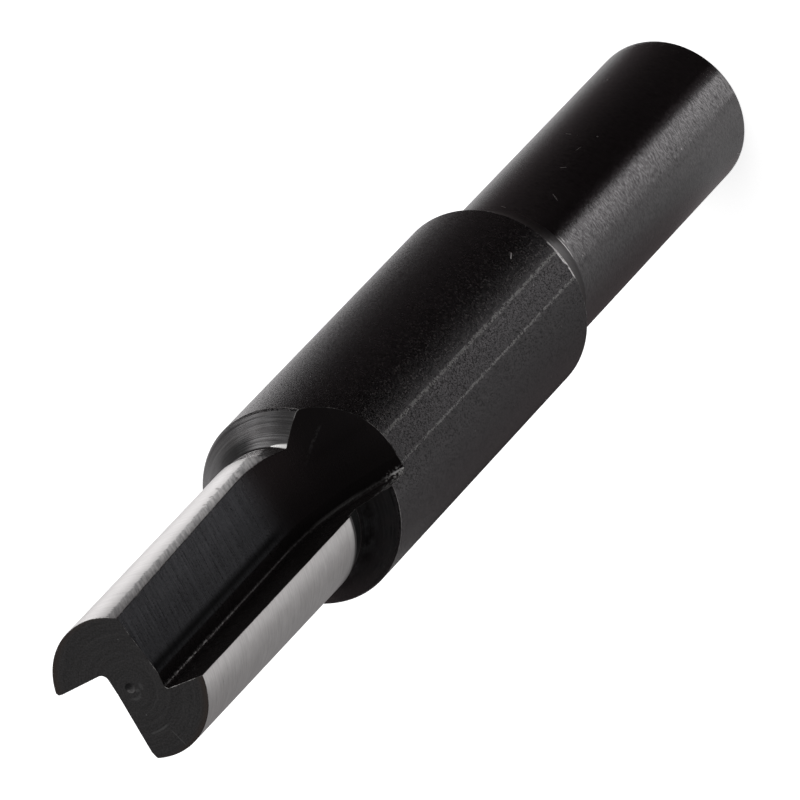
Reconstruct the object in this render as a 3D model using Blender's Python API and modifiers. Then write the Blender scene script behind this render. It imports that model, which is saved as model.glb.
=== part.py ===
"""Two-fluted straight milling cutter for wood: shank, thicker body, cutting end.

Metres, +Z along the tool axis towards the tip. The tool stands on its shank end,
so the origin is the centre of that end face. Angles are degrees about +Z from +X.
"""

import math

import bmesh
import bpy
from mathutils import Matrix, Vector

# Turned blank.
SHANK_DIAMETER = 0.0130
SHANK_LENGTH = 0.0350
BODY_DIAMETER = 0.0160
BODY_LENGTH = 0.0354
END_CHAMFER = 0.0001
RIM_CHAMFER_ACROSS = 0.00015
RIM_CHAMFER_ALONG = 0.00025
REAR_FILLET_LENGTH = 0.0031
NECK_DIAMETER = 0.01164
NECK_FILLET_RADIUS = 0.00045
CONE_ANGLE = 44.0
TURN_STEPS = 120

# Cutting end: two lobes, each turned about a centre off the tool axis, so that the
# land falls away behind its edge. The relief fades a little towards the body.
CUT_DIAMETER = 0.0123
CUT_LENGTH = 0.0296
LAND_LENGTH = 0.0260
LOBE_OFFSET_TIP = 0.00056
LOBE_OFFSET_ROOT = 0.00028
LOBE_ANGLE = -2.0
NECK_OVERLAP = 0.0010
CENTRE_DIMPLE_RADIUS = 0.00040
CENTRE_DIMPLE_DEPTH = 0.00018

# Flutes are milled by a disc whose axis stands square to the rake wall. Depths are
# measured from the tool axis along the rake wall, widths along the disc axis.
DISC_AXIS_DISTANCE = 0.0144
RUNOUT_START = 0.0221
FLUTE_TILT = 0.87
RUNOUT_SWEEP = 72.0
RUNOUT_STEPS = 22
FLUTE_REACH = 0.0110
FLUTE_TOP = 0.0100
TIP_OVERRUN = 0.0020

# First flute, the open one with a bend low in its back wall.
WIDE_RAKE_ANGLE = 20.0
WIDE_RAKE_SET_BACK = 0.00103
WIDE_BEND_DEPTH = 0.00245
WIDE_BEND_WIDTH = 0.00028
WIDE_BACK_TILT = 8.3
WIDE_FACET_TILT = -5.0
WIDE_CORNER_RADIUS = 0.00035

# Second flute, deeper, with one straight back wall and a rounder corner.
DEEP_RAKE_ANGLE = 204.5
DEEP_RAKE_SET_BACK = 0.00177
DEEP_BEND_DEPTH = 0.00092
DEEP_BEND_WIDTH = 0.00010
DEEP_BACK_TILT = -4.0
DEEP_FACET_TILT = -1.0
DEEP_CORNER_RADIUS = 0.00056

ARC_STEPS = 14
CORNER_STEPS = 5
LOBE_SEGMENTS = 144
DIMPLE_SEGMENTS = 24
SHARP_EDGE_ANGLE = 28.0
STEEL_COLOUR = (0.085, 0.082, 0.082, 1.0)
STEEL_ROUGHNESS = 0.38

SHANK_RADIUS = SHANK_DIAMETER / 2
BODY_RADIUS = BODY_DIAMETER / 2
CUT_RADIUS = CUT_DIAMETER / 2
BODY_FRONT = SHANK_LENGTH + BODY_LENGTH
TIP = BODY_FRONT + CUT_LENGTH
NECK_RADIUS = NECK_DIAMETER / 2
RIM_RADIUS = BODY_RADIUS - RIM_CHAMFER_ACROSS
LAND_END = TIP - LAND_LENGTH
DISC_CENTRE_HEIGHT = TIP - RUNOUT_START


def clear_scene():
    for old in list(bpy.data.objects):
        bpy.data.objects.remove(old, do_unlink=True)


def new_collection(name, hidden=False):
    collection = bpy.data.collections.new(name)
    bpy.context.scene.collection.children.link(collection)
    collection.hide_render = hidden
    return collection


def steel_material():
    material = bpy.data.materials.new("tool_steel")
    material.use_nodes = True
    shader = material.node_tree.nodes["Principled BSDF"]
    shader.inputs["Base Color"].default_value = STEEL_COLOUR
    shader.inputs["Metallic"].default_value = 1.0
    shader.inputs["Roughness"].default_value = STEEL_ROUGHNESS
    return material


def arc_points(centre, radius, first, last):
    """Points (radius, height) on an arc, with angles in radians from the outward direction."""
    return [
        (centre[0] + radius * math.cos(turn), centre[1] + radius * math.sin(turn))
        for turn in (first + (last - first) * i / ARC_STEPS for i in range(ARC_STEPS + 1))
    ]


def cone_fillet():
    """Arc that leads from the neck into the cone in front of the body."""
    cone = math.radians(CONE_ANGLE)
    foot = BODY_FRONT + (RIM_RADIUS - NECK_RADIUS) / math.tan(cone)
    rise = NECK_FILLET_RADIUS * math.tan(cone / 2)
    centre = (NECK_RADIUS + NECK_FILLET_RADIUS, foot + rise)
    return arc_points(centre, NECK_FILLET_RADIUS, math.pi, math.pi + cone)


def rear_fillet():
    """Arc that leads from the body's rear rim down onto the shank, which it touches."""
    across = RIM_RADIUS - SHANK_RADIUS
    radius = (across**2 + REAR_FILLET_LENGTH**2) / (2 * across)
    centre = (SHANK_RADIUS + radius, SHANK_LENGTH - REAR_FILLET_LENGTH)
    return arc_points(centre, radius, math.pi - math.asin(REAR_FILLET_LENGTH / radius), math.pi)


def blank_profile():
    """Half section of the turned blank, from inside the cutting end down to the shank end."""
    points = [(0.0, LAND_END + NECK_OVERLAP)]
    points.append((NECK_RADIUS, LAND_END + NECK_OVERLAP))
    points += cone_fillet()
    points.append((RIM_RADIUS, BODY_FRONT))
    points.append((BODY_RADIUS, BODY_FRONT - RIM_CHAMFER_ALONG))
    points.append((BODY_RADIUS, SHANK_LENGTH + RIM_CHAMFER_ALONG))
    points += rear_fillet()
    points.append((SHANK_RADIUS, END_CHAMFER))
    points.append((SHANK_RADIUS - END_CHAMFER, 0.0))
    points.append((0.0, 0.0))
    return points


def add_blank(collection):
    mesh = bpy.data.meshes.new("milling_cutter")
    points = [(radius, 0.0, height) for radius, height in blank_profile()]
    edges = [(i, i + 1) for i in range(len(points) - 1)]
    mesh.from_pydata(points, edges, [])
    blank = bpy.data.objects.new("milling_cutter", mesh)
    collection.objects.link(blank)
    turn = blank.modifiers.new("turned", "SCREW")
    turn.axis = "Z"
    turn.angle = math.tau
    turn.steps = TURN_STEPS
    turn.render_steps = TURN_STEPS
    turn.use_merge_vertices = True
    turn.merge_threshold = 0.00001
    turn.use_smooth_shade = False
    return blank


def loft(name, loops, collection):
    """Closed solid through equal loops of points, capped at its first and last loop."""
    work = bmesh.new()
    rings = [[work.verts.new(point) for point in loop] for loop in loops]
    count = len(rings[0])
    for low, high in zip(rings, rings[1:]):
        for i in range(count):
            after = (i + 1) % count
            work.faces.new((low[i], low[after], high[after], high[i]))
    work.faces.new(rings[0])
    work.faces.new(rings[-1])
    bmesh.ops.recalc_face_normals(work, faces=work.faces[:])
    mesh = bpy.data.meshes.new(name)
    work.to_mesh(mesh)
    work.free()
    solid = bpy.data.objects.new(name, mesh)
    collection.objects.link(solid)
    return solid


def lobe_loop(direction, offset, height):
    """Circle of one lobe, which touches the cutting circle on its outer side."""
    radius = CUT_RADIUS - offset
    centre = Vector((math.cos(direction), math.sin(direction), 0.0)) * offset
    return [
        centre + Vector((radius * math.cos(a), radius * math.sin(a), height))
        for a in (direction + math.tau * i / LOBE_SEGMENTS for i in range(LOBE_SEGMENTS))
    ]


def add_lobe(name, angle, collection):
    direction = math.radians(angle)
    root = lobe_loop(direction, LOBE_OFFSET_ROOT, LAND_END)
    tip = lobe_loop(direction, LOBE_OFFSET_TIP, TIP)
    return loft(name, [root, tip], collection)


def flute_section(rake_set_back, bend_depth, bend_width, back_tilt, facet_tilt, corner_radius):
    """Loop of (depth, width) round the space that one flute takes.

    The rake wall lies at -rake_set_back. A facet leads from its foot to the bend,
    and the back wall from the bend outwards. The corner at the foot is rounded.
    """
    facet_slope = math.tan(math.radians(facet_tilt))
    back_slope = math.tan(math.radians(back_tilt))
    corner_width = corner_radius - rake_set_back
    corner_depth = bend_depth - facet_slope * (corner_width - bend_width)
    section = [(FLUTE_TOP, -rake_set_back)]
    for i in range(CORNER_STEPS + 1):
        turn = math.pi / 2 * i / CORNER_STEPS
        depth = corner_depth + corner_radius * (1 - math.sin(turn))
        width = corner_width - corner_radius * math.cos(turn)
        section.append((depth, width))
    section.append((bend_depth, bend_width))
    section.append((bend_depth - back_slope * (FLUTE_REACH - bend_width), FLUTE_REACH))
    section.append((FLUTE_TOP, FLUTE_REACH))
    return section


def flute_stations(tilt):
    """(turn about the disc axis, further travel) of each loop from the tip to the run-out's end."""
    travel = RUNOUT_START + TIP_OVERRUN
    stations = [(-tilt, travel)]
    sweep = math.radians(RUNOUT_SWEEP)
    for i in range(RUNOUT_STEPS + 1):
        stations.append((-tilt + (sweep + tilt) * i / RUNOUT_STEPS, 0.0))
    return stations


def add_flute(name, rake_angle, section, collection):
    """Cutter for one flute: straight along the tool, then swung about the disc axis."""
    tilt = math.radians(FLUTE_TILT)
    heading = Matrix.Rotation(math.radians(rake_angle), 3, "Z")
    loops = []
    for turn, travel in flute_stations(tilt):
        loop = []
        for depth, width in section:
            arm = DISC_AXIS_DISTANCE - depth
            out = DISC_AXIS_DISTANCE - arm * math.cos(turn) + travel * math.sin(tilt)
            height = DISC_CENTRE_HEIGHT - arm * math.sin(turn) + travel * math.cos(tilt)
            loop.append(heading @ Vector((out, width, height)))
        loops.append(loop)
    return loft(name, loops, collection)


def add_dimple(collection):
    """Cone that leaves the centre dimple in the tip face."""
    slope = CENTRE_DIMPLE_DEPTH / CENTRE_DIMPLE_RADIUS
    rise = 0.0002
    radius = CENTRE_DIMPLE_RADIUS + rise / slope
    work = bmesh.new()
    bmesh.ops.create_cone(
        work,
        cap_ends=True,
        segments=DIMPLE_SEGMENTS,
        radius1=0.0,
        radius2=radius,
        depth=CENTRE_DIMPLE_DEPTH + rise,
        matrix=Matrix.Translation((0.0, 0.0, TIP + (rise - CENTRE_DIMPLE_DEPTH) / 2)),
    )
    mesh = bpy.data.meshes.new("centre_dimple")
    work.to_mesh(mesh)
    work.free()
    dimple = bpy.data.objects.new("centre_dimple", mesh)
    collection.objects.link(dimple)
    return dimple


def add_boolean(target, other, operation):
    modifier = target.modifiers.new(other.name, "BOOLEAN")
    modifier.operation = operation
    modifier.solver = "EXACT"
    modifier.object = other
    other.display_type = "WIRE"
    other.hide_render = True


def build():
    clear_scene()
    tool = new_collection("wood_milling_cutter")
    helpers = new_collection("cutters", hidden=True)
    blank = add_blank(tool)
    for name, angle in (("lobe_front", LOBE_ANGLE), ("lobe_rear", LOBE_ANGLE + 180.0)):
        add_boolean(blank, add_lobe(name, angle, helpers), "UNION")
    wide = flute_section(
        WIDE_RAKE_SET_BACK,
        WIDE_BEND_DEPTH,
        WIDE_BEND_WIDTH,
        WIDE_BACK_TILT,
        WIDE_FACET_TILT,
        WIDE_CORNER_RADIUS,
    )
    deep = flute_section(
        DEEP_RAKE_SET_BACK,
        DEEP_BEND_DEPTH,
        DEEP_BEND_WIDTH,
        DEEP_BACK_TILT,
        DEEP_FACET_TILT,
        DEEP_CORNER_RADIUS,
    )
    add_boolean(blank, add_flute("flute_wide", WIDE_RAKE_ANGLE, wide, helpers), "DIFFERENCE")
    add_boolean(blank, add_flute("flute_deep", DEEP_RAKE_ANGLE, deep, helpers), "DIFFERENCE")
    add_boolean(blank, add_dimple(helpers), "DIFFERENCE")
    blank.data.materials.append(steel_material())
    blank.data.shade_smooth()
    blank.data.set_sharp_from_angle(angle=math.radians(SHARP_EDGE_ANGLE))


build()
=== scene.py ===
"""Two-fluted milling cutter for wood, standing on its shank end under soft studio light."""

import math

import bmesh
import bpy
from mathutils import Matrix, Vector


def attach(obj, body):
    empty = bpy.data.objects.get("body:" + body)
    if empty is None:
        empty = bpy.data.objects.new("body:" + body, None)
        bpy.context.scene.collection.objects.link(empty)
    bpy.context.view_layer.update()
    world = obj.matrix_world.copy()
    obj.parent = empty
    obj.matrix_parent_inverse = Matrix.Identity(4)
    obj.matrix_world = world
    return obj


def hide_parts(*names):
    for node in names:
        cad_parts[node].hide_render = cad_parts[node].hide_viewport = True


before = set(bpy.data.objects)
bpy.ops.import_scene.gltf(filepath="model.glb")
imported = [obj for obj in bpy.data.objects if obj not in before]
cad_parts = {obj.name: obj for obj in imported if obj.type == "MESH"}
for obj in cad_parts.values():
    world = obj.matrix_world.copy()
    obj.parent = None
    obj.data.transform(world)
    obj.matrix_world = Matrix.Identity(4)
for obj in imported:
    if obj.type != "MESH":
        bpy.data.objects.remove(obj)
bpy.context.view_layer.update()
scene = bpy.context.scene

# Camera: a long lens that looks down at about 54 degrees on the standing tool, rolled so
# that the tip points to the lower left of the picture.
camera_data = bpy.data.cameras.new("camera")
camera_data.sensor_fit = "HORIZONTAL"
camera_data.sensor_width = 36.0
camera_data.lens = 513.96
camera_data.clip_start = 0.05
camera_data.clip_end = 20.0
camera = bpy.data.objects.new("camera", camera_data)
camera_place = (0.37922, 0.32616, 0.74236)
camera_turn = Matrix(
    (
        (0.895573, 0.0, 0.444913),
        (-0.190042, 0.904183, 0.382539),
        (-0.402283, -0.427144, 0.809763),
    )
)
camera.matrix_world = Matrix.Translation(camera_place) @ camera_turn.to_4x4()
scene.collection.objects.link(camera)
scene.camera = camera

# Floor and backdrop: one pale sheet under the tool. It shows as white behind the tool and
# takes its soft shadow.
scene.view_settings.view_transform = "Standard"


def new_object(name, shape, *materials):
    """Object in the scene from a bmesh, which is used up, with its materials."""
    mesh = bpy.data.meshes.new(name)
    shape.to_mesh(mesh)
    shape.free()
    for material in materials:
        mesh.materials.append(material)
    made = bpy.data.objects.new(name, mesh)
    scene.collection.objects.link(made)
    return made


def new_material(name):
    """Empty material with its node tree, ready for a shader."""
    material = bpy.data.materials.new(name)
    material.use_nodes = True
    material.node_tree.nodes.clear()
    return material


def add_node(tree, kind, values=(), **settings):
    """Node of a kind. Values are input names or numbers, each with a constant or a socket."""
    node = tree.nodes.new(kind)
    for setting, choice in settings.items():
        setattr(node, setting, choice)
    for name, value in dict(values).items():
        if isinstance(value, bpy.types.NodeSocket):
            tree.links.new(value, node.inputs[name])
        else:
            node.inputs[name].default_value = value
    return node


def calc(tree, operation, first, second=0.0, third=0.0):
    """Result of one Math node."""
    values = {0: first, 1: second, 2: third}
    return add_node(tree, "ShaderNodeMath", values, operation=operation).outputs[0]


floor_paint = new_material("pale_floor_paint")
tree = floor_paint.node_tree
rays = add_node(tree, "ShaderNodeLightPath")
seen = calc(tree, "MAXIMUM", rays.outputs["Is Camera Ray"], rays.outputs["Is Transmission Ray"])
mirrored = calc(tree, "MULTIPLY", rays.outputs["Is Glossy Ray"], 0.62)
floor_shader = add_node(
    tree,
    "ShaderNodeBsdfPrincipled",
    {
        "Base Color": (0.86, 0.86, 0.86, 1.0),
        "Roughness": 1.0,
        "Specular IOR Level": 0.0,
        "Emission Color": (1.0, 1.0, 1.0, 1.0),
        "Emission Strength": calc(tree, "MULTIPLY_ADD", seen, 0.85, mirrored),
    },
)
add_node(tree, "ShaderNodeOutputMaterial", {"Surface": floor_shader.outputs["BSDF"]})
floor_shape = bmesh.new()
bmesh.ops.create_circle(floor_shape, cap_ends=True, segments=64, radius=4.0)
floor = new_object("pale_floor", floor_shape, floor_paint)

# Studio room: white behind everything the camera sees. Its light comes from one bright
# side, at the tool's left in the picture, and falls off towards the dark side and the top.
world = bpy.data.worlds.new("studio_room")
scene.world = world
world.use_nodes = True
tree = world.node_tree
tree.nodes.clear()
rays = add_node(tree, "ShaderNodeLightPath")
heading = add_node(tree, "ShaderNodeTexCoord")
facing = add_node(
    tree,
    "ShaderNodeVectorMath",
    {0: heading.outputs["Generated"], 1: (-0.811, 0.568, 0.139)},
    operation="DOT_PRODUCT",
)
side_light = add_node(tree, "ShaderNodeValToRGB", {"Fac": facing.outputs["Value"]})
room_steps = side_light.color_ramp
room_steps.interpolation = "EASE"
room_steps.elements[0].position = 0.0
room_steps.elements[0].color = (0.10, 0.10, 0.102, 1.0)
room_steps.elements[1].position = 0.85
room_steps.elements[1].color = (1.0, 1.0, 1.0, 1.0)
for position, level in ((0.16, 0.13), (0.26, 0.26), (0.55, 0.62)):
    room_steps.elements.new(position).color = (level, level, level, 1.0)
room_colour = add_node(
    tree,
    "ShaderNodeMix",
    {"Factor": rays.outputs["Is Camera Ray"], "A": side_light.outputs["Color"]},
    data_type="RGBA",
)
room_colour.inputs["B"].default_value = (1.0, 1.0, 1.0, 1.0)
room = add_node(tree, "ShaderNodeBackground", {"Color": room_colour.outputs["Result"]})
add_node(tree, "ShaderNodeOutputWorld", {"Surface": room.outputs["Background"]})


def add_softbox(name, place, aim, side, power):
    """Square soft lamp at a place, turned to face a point."""
    lamp_data = bpy.data.lights.new(name, "AREA")
    lamp_data.shape = "SQUARE"
    lamp_data.size = side
    lamp_data.energy = power
    lamp = bpy.data.objects.new(name, lamp_data)
    facing = (Vector(aim) - Vector(place)).to_track_quat("-Z", "Y").to_matrix().to_4x4()
    lamp.matrix_world = Matrix.Translation(place) @ facing
    scene.collection.objects.link(lamp)


add_softbox("softbox_left", (-0.62, 0.52, 0.42), (0.0, 0.0, 0.06), 0.5, 1.6)
add_softbox("softbox_above", (-0.06, 0.36, 1.05), (0.0, 0.0, 0.09), 0.35, 1.4)

# Reflection card on the floor round the tool's foot, in long wedges from dark to white.
# Only mirror-like surfaces see it: it gives the dark steel its lit and its dark bands.
# Each row is a side of the tool in degrees and the card's levels for what the shank's end,
# the shank, the body, the cutting end and the cone mirror from it. A reach is how far from
# the tool's foot a level holds, and the camera's side is its heading in degrees.
card_height = 0.00004
card_foot_radius = 0.00656
camera_side = 40.7
lit_side = 33.0
fillet_share = 0.8
rim_drop = 0.18
card_rows = (
    (-49.3, 0.20, 0.10, 0.02, 0.28, 0.07),
    (-42.0, 0.20, 0.10, 0.03, 0.28, 0.07),
    (-30.0, 0.24, 0.11, 0.11, 0.29, 0.09),
    (-15.0, 0.35, 0.19, 0.19, 0.32, 0.11),
    (0.0, 0.50, 0.35, 0.34, 0.50, 0.15),
    (8.0, 0.60, 0.47, 0.50, 0.98, 0.20),
    (16.5, 0.56, 0.46, 0.56, 0.60, 0.22),
    (18.5, 0.95, 0.87, 0.95, 0.35, 0.22),
    (25.0, 1.00, 0.90, 0.84, 0.30, 0.22),
    (31.0, 1.28, 1.25, 1.28, 0.30, 0.20),
    (34.5, 1.36, 1.32, 1.75, 0.25, 0.16),
    (37.0, 0.34, 0.21, 0.34, 0.10, 0.10),
    (39.0, 0.20, 0.105, 0.010, 0.05, 0.06),
    (42.0, 0.09, 0.05, 0.008, 0.04, 0.04),
    (45.0, 0.035, 0.027, 0.008, 0.035, 0.035),
    (62.0, 0.035, 0.030, 0.095, 0.035, 0.035),
    (75.0, 0.045, 0.045, 0.088, 0.06, 0.05),
    (83.0, 0.060, 0.060, 0.075, 0.20, 0.10),
    (91.0, 0.083, 0.085, 0.078, 0.60, 0.20),
    (99.0, 0.116, 0.120, 0.075, 1.30, 0.40),
    (103.0, 0.17, 0.18, 0.105, 1.50, 0.60),
    (107.0, 0.27, 0.29, 0.19, 1.45, 0.80),
    (112.0, 0.39, 0.42, 0.46, 1.30, 0.80),
    (116.0, 0.47, 0.54, 0.66, 0.90, 0.80),
    (122.0, 0.49, 0.54, 0.75, 0.70, 0.80),
    (130.7, 0.50, 0.52, 0.78, 0.74, 0.80),
    (-49.3, 0.20, 0.10, 0.02, 0.28, 0.07),
)
card_reaches = (0.0, 0.004, 0.010, 0.022, 0.027, 0.035, 0.050, 0.053, 0.080, 0.140, 3.0)
card_shape = bmesh.new()
card_level = card_shape.verts.layers.float.new("card_level")
row_before = None
for face_angle, at_foot, at_shank, at_body, at_end, at_cone in card_rows:
    side = math.radians(face_angle)
    away = math.radians(2.0 * face_angle - camera_side)
    foot_x = card_foot_radius * math.cos(side)
    foot_y = card_foot_radius * math.sin(side)
    foot = Vector((foot_x, foot_y, card_height))
    row = []
    at_fillet = at_shank * (fillet_share if face_angle < lit_side else 1.0)
    at_rim = max(0.0, at_body - rim_drop * max(0.0, at_end - at_body))
    levels = (at_foot, at_foot, at_shank, at_fillet, at_body, at_body, at_rim)
    levels += (at_end, at_end, at_cone, at_cone)
    for reach, level in zip(card_reaches, levels):
        corner = card_shape.verts.new(foot + reach * Vector((math.cos(away), math.sin(away), 0)))
        corner[card_level] = level
        row.append(corner)
    if row_before:
        for i in range(len(row) - 1):
            card_shape.faces.new((row_before[i], row_before[i + 1], row[i + 1], row[i]))
    row_before = row
bmesh.ops.recalc_face_normals(card_shape, faces=card_shape.faces[:])
card_paint = new_material("reflection_card_paint")
tree = card_paint.node_tree
card_tone = add_node(tree, "ShaderNodeAttribute", attribute_name="card_level")
warmth = add_node(tree, "ShaderNodeValToRGB", {"Fac": card_tone.outputs["Fac"]})
warmth.color_ramp.elements[0].color = (1.0, 0.80, 0.83, 1.0)
warmth.color_ramp.elements[1].position = 0.30
warmth.color_ramp.elements[1].color = (1.0, 0.98, 0.99, 1.0)
card_glow = add_node(
    tree,
    "ShaderNodeEmission",
    {"Color": warmth.outputs["Color"], "Strength": card_tone.outputs["Fac"]},
)
add_node(tree, "ShaderNodeOutputMaterial", {"Surface": card_glow.outputs["Emission"]})
card = new_object("reflection_card", card_shape, card_paint)
card.visible_camera = False
card.visible_diffuse = False
card.visible_shadow = False
card.visible_transmission = False

# Turned blank: shank, thicker body and the cone and neck in front of it, all turned from
# one bar of tool steel and blackened. The finish of each turned surface is set here.
shank_radius = 0.0065
shank_length = 0.0350
body_radius = 0.0080
body_front = 0.0704
end_chamfer = 0.0001
rim_across = 0.00015
rim_along = 0.00025
rear_fillet_length = 0.0031
neck_radius = 0.00582
neck_fillet_radius = 0.00045
cone_angle = math.radians(44.0)
land_end = 0.0740
tip = 0.1000
turn_steps = 360
neck_overlap = 0.001
seam_margin = 0.0001
merge_distance = 0.000001
# Near black used for painted shade.
shade_black = (0.010, 0.010, 0.010)


def new_group(name, inputs, outputs):
    """Shader node group with number inputs, each with its usual value, and number outputs."""
    group = bpy.data.node_groups.new(name, "ShaderNodeTree")
    for label, value in inputs.items():
        socket = group.interface.new_socket(label, in_out="INPUT", socket_type="NodeSocketFloat")
        socket.default_value = value
    for label in outputs:
        group.interface.new_socket(label, in_out="OUTPUT", socket_type="NodeSocketFloat")
    return group, group.nodes.new("NodeGroupInput"), group.nodes.new("NodeGroupOutput")


def map_value(tree, value, low, high, to_low=0.0, to_high=1.0, smooth=True):
    """Value moved from one range to another and held at the ends."""
    node = add_node(
        tree,
        "ShaderNodeMapRange",
        {"Value": value, "From Min": low, "From Max": high, "To Min": to_low, "To Max": to_high},
        interpolation_type="SMOOTHSTEP" if smooth else "LINEAR",
    )
    return node.outputs["Result"]


def mix_colour(tree, factor, first, second, blend="MIX"):
    """First colour turned by a factor into the second, or into a blend of both."""
    values = {"Factor": factor, "A": first, "B": second}
    for name in ("A", "B"):
        if not isinstance(values[name], bpy.types.NodeSocket):
            values[name] = (*values[name], 1.0)
    node = add_node(tree, "ShaderNodeMix", values, data_type="RGBA", blend_type=blend)
    return node.outputs["Result"]


def weigh(tree, *parts):
    """Sum of masks, each given with its weight."""
    total = 0.0
    for mask, weight in parts:
        total = calc(tree, "MULTIPLY_ADD", mask, weight, total)
    return total


# Place on the tool, in millimetres and degrees: how far from the axis, which side, how high.
place_group, _, place_out = new_group("tool_place", {}, ("Radius", "Side", "Height"))
tool_point = add_node(
    place_group,
    "ShaderNodeVectorMath",
    {0: add_node(place_group, "ShaderNodeTexCoord").outputs["Object"], "Scale": 1000.0},
    operation="SCALE",
)
axes = add_node(place_group, "ShaderNodeSeparateXYZ", {0: tool_point.outputs[0]}).outputs
squared = calc(place_group, "MULTIPLY", axes["Y"], axes["Y"])
squared = calc(place_group, "MULTIPLY_ADD", axes["X"], axes["X"], squared)
place_group.links.new(calc(place_group, "SQRT", squared), place_out.inputs["Radius"])
turned_to = calc(place_group, "ARCTAN2", axes["Y"], axes["X"])
place_group.links.new(calc(place_group, "DEGREES", turned_to), place_out.inputs["Side"])
place_group.links.new(axes["Z"], place_out.inputs["Height"])

# Turning marks: fine rings round the axis, wherever the tool bit moved along "Along".
# "Per mm" is how close they lie, and "Breaks per mm" how soon each ring is broken up.
marks_group, marks_in, marks_out = new_group(
    "turning_marks",
    {"Along": 0.0, "Per mm": 5.0, "Breaks per mm": 0.25, "Contrast": 2.0},
    ("Marks",),
)
tool_point = add_node(
    marks_group,
    "ShaderNodeSeparateXYZ",
    {0: add_node(marks_group, "ShaderNodeTexCoord").outputs["Object"]},
).outputs
stretch = calc(marks_group, "MULTIPLY", marks_in.outputs["Breaks per mm"], 1000.0)
ring_place = add_node(
    marks_group,
    "ShaderNodeCombineXYZ",
    {
        "X": calc(marks_group, "MULTIPLY", tool_point["X"], stretch),
        "Y": calc(marks_group, "MULTIPLY", tool_point["Y"], stretch),
        "Z": calc(marks_group, "MULTIPLY", marks_in.outputs["Along"], marks_in.outputs["Per mm"]),
    },
)
ring_noise = add_node(
    marks_group,
    "ShaderNodeTexNoise",
    {"Vector": ring_place.outputs[0], "Scale": 1.0, "Detail": 3.0, "Roughness": 0.65},
)
centred = calc(marks_group, "SUBTRACT", ring_noise.outputs["Fac"], 0.5)
stronger = calc(marks_group, "MULTIPLY_ADD", centred, marks_in.outputs["Contrast"], 0.5)
clamped = add_node(marks_group, "ShaderNodeClamp", {"Value": stronger})
marks_group.links.new(clamped.outputs["Result"], marks_out.inputs["Marks"])

# Grain: an even, fine mottle, as of blackened steel that was never polished.
grain_group, grain_in, grain_out = new_group(
    "black_grain", {"Per mm": 5.0, "Low": 0.35, "High": 0.65}, ("Grain",)
)
grain_noise = add_node(
    grain_group,
    "ShaderNodeTexNoise",
    {
        "Vector": add_node(grain_group, "ShaderNodeTexCoord").outputs["Object"],
        "Scale": calc(grain_group, "MULTIPLY", grain_in.outputs["Per mm"], 1000.0),
        "Detail": 3.0,
        "Roughness": 0.6,
    },
)
spread = map_value(
    grain_group, grain_noise.outputs["Fac"], grain_in.outputs["Low"], grain_in.outputs["High"]
)
grain_group.links.new(spread, grain_out.inputs["Grain"])

# Specks: small round spots where the black is rubbed off or dust lies.
specks_group, specks_in, specks_out = new_group(
    "bare_specks", {"Per mm": 1.2, "Size": 0.18, "Share": 0.3}, ("Specks",)
)
speck_cells = add_node(
    specks_group,
    "ShaderNodeTexVoronoi",
    {
        "Vector": add_node(specks_group, "ShaderNodeTexCoord").outputs["Object"],
        "Scale": calc(specks_group, "MULTIPLY", specks_in.outputs["Per mm"], 1000.0),
    },
)
chance = add_node(
    specks_group, "ShaderNodeSeparateColor", {"Color": speck_cells.outputs["Color"]}
).outputs["Red"]
size = calc(specks_group, "MULTIPLY", specks_in.outputs["Size"], chance)
spot = calc(specks_group, "LESS_THAN", speck_cells.outputs["Distance"], size)
plain_share = calc(specks_group, "SUBTRACT", 1.0, specks_in.outputs["Share"])
chosen = calc(specks_group, "GREATER_THAN", chance, plain_share)
specks_group.links.new(calc(specks_group, "MULTIPLY", spot, chosen), specks_out.inputs["Specks"])

# Dotted line: a thin line broken into dots, drawn for rubbed steel and for painted highlights.
# "Off" is the distance from it.
line_group, line_in, line_out = new_group(
    "dotted_line", {"Off": 0.0, "Half width": 0.08, "Dots per mm": 3.0, "Share": 0.5}, ("Line",)
)
dots = add_node(
    line_group,
    "ShaderNodeTexNoise",
    {
        "Vector": add_node(line_group, "ShaderNodeTexCoord").outputs["Object"],
        "Scale": calc(line_group, "MULTIPLY", line_in.outputs["Dots per mm"], 1000.0),
        "Detail": 2.0,
        "Roughness": 0.6,
    },
).outputs["Fac"]
cover = calc(line_group, "SUBTRACT", 1.0, line_in.outputs["Share"])
dots_from = calc(line_group, "MULTIPLY_ADD", cover, 0.5, 0.17)
dots_to = calc(line_group, "MULTIPLY_ADD", cover, 0.5, 0.33)
dotted = map_value(line_group, dots, dots_from, dots_to)
distance = calc(line_group, "ABSOLUTE", line_in.outputs["Off"])
nearness = calc(line_group, "DIVIDE", distance, line_in.outputs["Half width"])
inside = map_value(line_group, nearness, 0.5, 1.2, 1.0, 0.0)
line_group.links.new(calc(line_group, "MULTIPLY", dotted, inside), line_out.inputs["Line"])


def use_group(tree, group, **values):
    """Group node in a material. Underscores in its input names stand for spaces."""
    node = tree.nodes.new("ShaderNodeGroup")
    node.node_tree = group
    for name, value in values.items():
        socket = node.inputs[name.replace("_", " ")]
        if isinstance(value, bpy.types.NodeSocket):
            tree.links.new(value, socket)
        else:
            socket.default_value = value
    return node.outputs


def turning_marks(tree, along, per_mm, breaks_per_mm, contrast):
    """Turning marks of one fineness, from 0 to 1."""
    values = {"Along": along, "Per_mm": per_mm, "Breaks_per_mm": breaks_per_mm}
    return use_group(tree, marks_group, **values, Contrast=contrast)["Marks"]


def black_grain(tree, per_mm, low, high):
    """Grain of one fineness, from 0 to 1 between two levels of its noise."""
    return use_group(tree, grain_group, Per_mm=per_mm, Low=low, High=high)["Grain"]


def bare_specks(tree, per_mm, size, share):
    """Specks of at most a size, in a share of the places that could have one."""
    return use_group(tree, specks_group, Per_mm=per_mm, Size=size, Share=share)["Specks"]


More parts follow.
